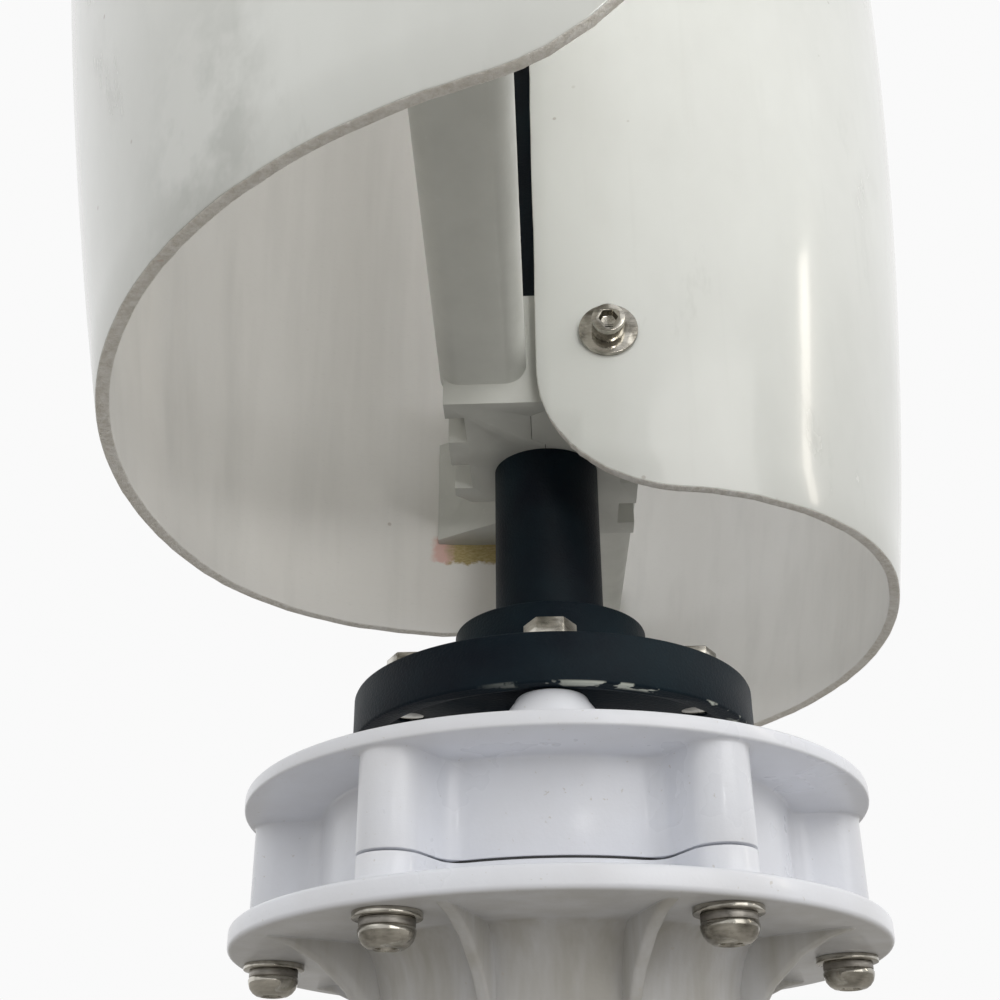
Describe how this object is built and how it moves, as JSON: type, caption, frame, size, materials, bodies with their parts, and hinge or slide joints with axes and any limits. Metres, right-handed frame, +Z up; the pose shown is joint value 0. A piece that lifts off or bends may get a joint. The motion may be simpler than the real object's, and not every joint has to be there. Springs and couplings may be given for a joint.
{
  "type": "vertical axis turbine",
  "caption": "Vertical axis wind turbine: barrel-shaped scoop blades on a clamped hub and tube, turning on a flanged permanent-magnet generator.",
  "frame": {"origin": "centre of the mast face under the generator's neck", "axes": "+Z up along the rotor axis; the blades' arms lie along Y"},
  "size_m": [0.3142, 0.5156, 0.987],
  "materials": {
    "white_casting": "white gloss powder coat on cast aluminium",
    "blade_sheet": "light grey-white gloss sheet",
    "bracket_plastic": "light grey moulded nylon, satin",
    "black_coat": "fine-textured blue-black powder coat",
    "stainless": "bright stainless",
    "spring_steel": "plain spring steel",
    "bearing_steel": "ground bearing steel",
    "shaft_steel": "ground shaft steel",
    "cage_plastic": "brown polyamide",
    "core_steel": "laminated electrical steel",
    "copper": "enamelled copper wire, standing in for copper",
    "magnet_nickel": "nickel-plated magnet",
    "rubber": "matte",
    "cap_plastic": "black moulded"
  },
  "bodies": {
    "housing": {"lower_housing": "white_casting", "upper_housing": "white_casting", "housing_gasket": "rubber", "housing_screws": "stainless", "housing_flat_washers": "stainless", "housing_spring_washers": "spring_steel", "stator_core": "core_steel", "stator_coils": "copper", "lower_bearing_outer_ring": "bearing_steel", "upper_bearing_outer_ring": "bearing_steel", "shaft_seal": "rubber", "cable_grommet": "rubber"},
    "rotor": {"generator_shaft": "shaft_steel", "rotor_spider": "shaft_steel", "rotor_magnets": "magnet_nickel", "rotor_key": "shaft_steel", "output_key": "shaft_steel", "shaft_circlip": "spring_steel", "lower_bearing_inner_ring": "bearing_steel", "upper_bearing_inner_ring": "bearing_steel", "output_flange": "black_coat", "shaft_nut_washer": "stainless", "shaft_nut": "stainless", "tube_flange": "black_coat", "rotor_tube": "black_coat", "tube_cap": "cap_plastic", "flange_bolts": "stainless", "flange_washers": "stainless", "blade_a": "blade_sheet", "blade_b": "blade_sheet", "lower_bracket_a": "bracket_plastic", "lower_bracket_b": "bracket_plastic", "upper_bracket_a": "bracket_plastic", "upper_bracket_b": "bracket_plastic", "lower_clamp_bolts": "stainless", "lower_clamp_nuts": "stainless", "upper_clamp_bolts": "stainless", "upper_clamp_nuts": "stainless", "lower_blade_screws": "stainless", "lower_blade_washers": "stainless", "lower_blade_nuts": "stainless", "upper_blade_screws": "stainless", "upper_blade_washers": "stainless", "upper_blade_nuts": "stainless"},
    "lower_cage": {"lower_bearing_balls": "bearing_steel", "lower_bearing_cage": "cage_plastic"},
    "upper_cage": {"upper_bearing_balls": "bearing_steel", "upper_bearing_cage": "cage_plastic"}
  },
  "joints": [
    {"name": "rotor_spin", "type": "hinge", "parent": "housing", "child": "rotor", "pos_m": [0, 0, 0.12], "axis": [0, 0, 1], "continuous": true},
    {"name": "lower_cage_spin", "type": "hinge", "parent": "housing", "child": "lower_cage", "pos_m": [0, 0, 0.104], "axis": [0, 0, 1], "continuous": true},
    {"name": "upper_cage_spin", "type": "hinge", "parent": "housing", "child": "upper_cage", "pos_m": [0, 0, 0.14], "axis": [0, 0, 1], "continuous": true}
  ],
  "couplings": [
    {"joint": "lower_cage_spin", "follows": "rotor_spin", "ratio": 0.3958},
    {"joint": "upper_cage_spin", "follows": "rotor_spin", "ratio": 0.3958}
  ]
}
